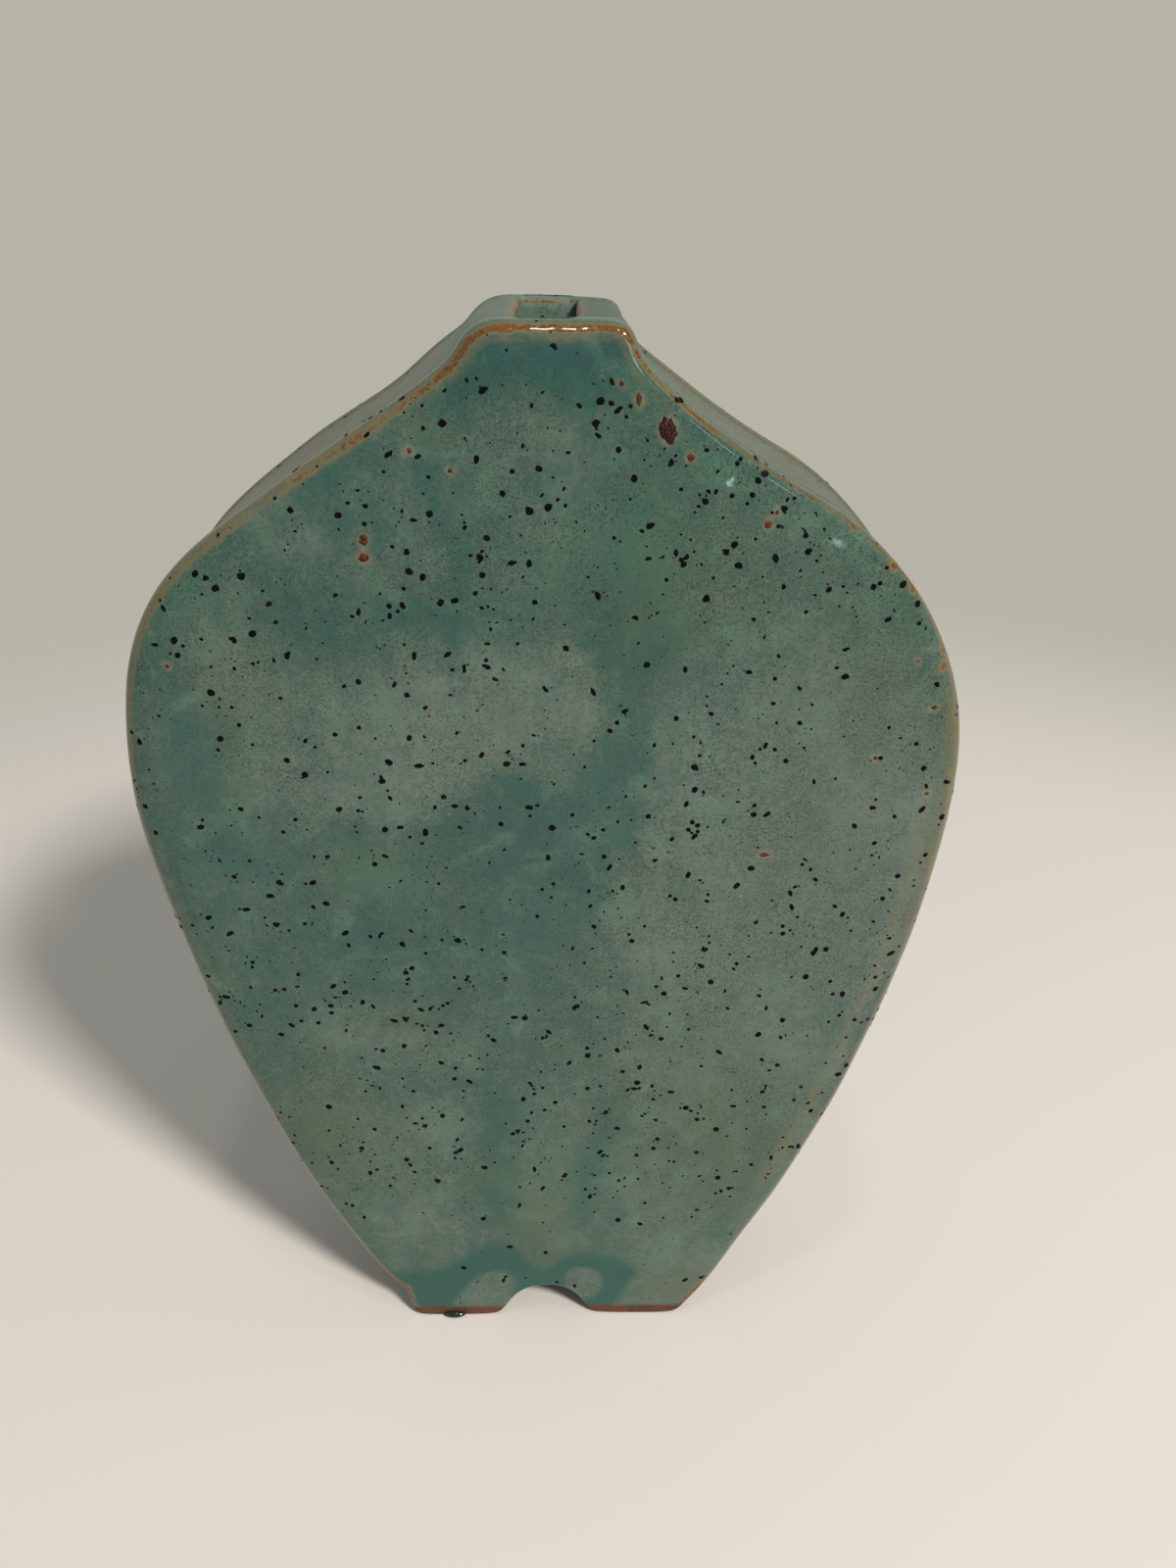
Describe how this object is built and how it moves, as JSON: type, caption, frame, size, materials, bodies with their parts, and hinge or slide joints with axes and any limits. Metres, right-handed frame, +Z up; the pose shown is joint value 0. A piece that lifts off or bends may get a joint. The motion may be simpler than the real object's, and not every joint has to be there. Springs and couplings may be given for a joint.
{
  "type": "bud vase",
  "caption": "Flat slab-built ceramic bud vase with a shield outline, a narrow rectangular mouth, an arched foot and a speckled teal glaze.",
  "frame": {"origin": "on the table plane, under the middle of the vase's bounding box", "axes": "+Z up from the foot to the lip, -Y out of the front slab, +X to the right as seen from the front"},
  "size_m": [0.154, 0.046, 0.22],
  "materials": {
    "teal_glaze": "gloss, mottled and speckled",
    "inner_clay": "bare fired clay"
  },
  "bodies": {
    "root": {"back_slab": "teal_glaze", "left_wall": "teal_glaze", "right_wall": "teal_glaze", "floor": "teal_glaze", "left_seam_coil": "inner_clay", "right_seam_coil": "inner_clay", "floor_seam_coil": "inner_clay", "left_floor_coil": "inner_clay", "right_floor_coil": "inner_clay", "front_slab": "teal_glaze"}
  },
  "joints": []
}
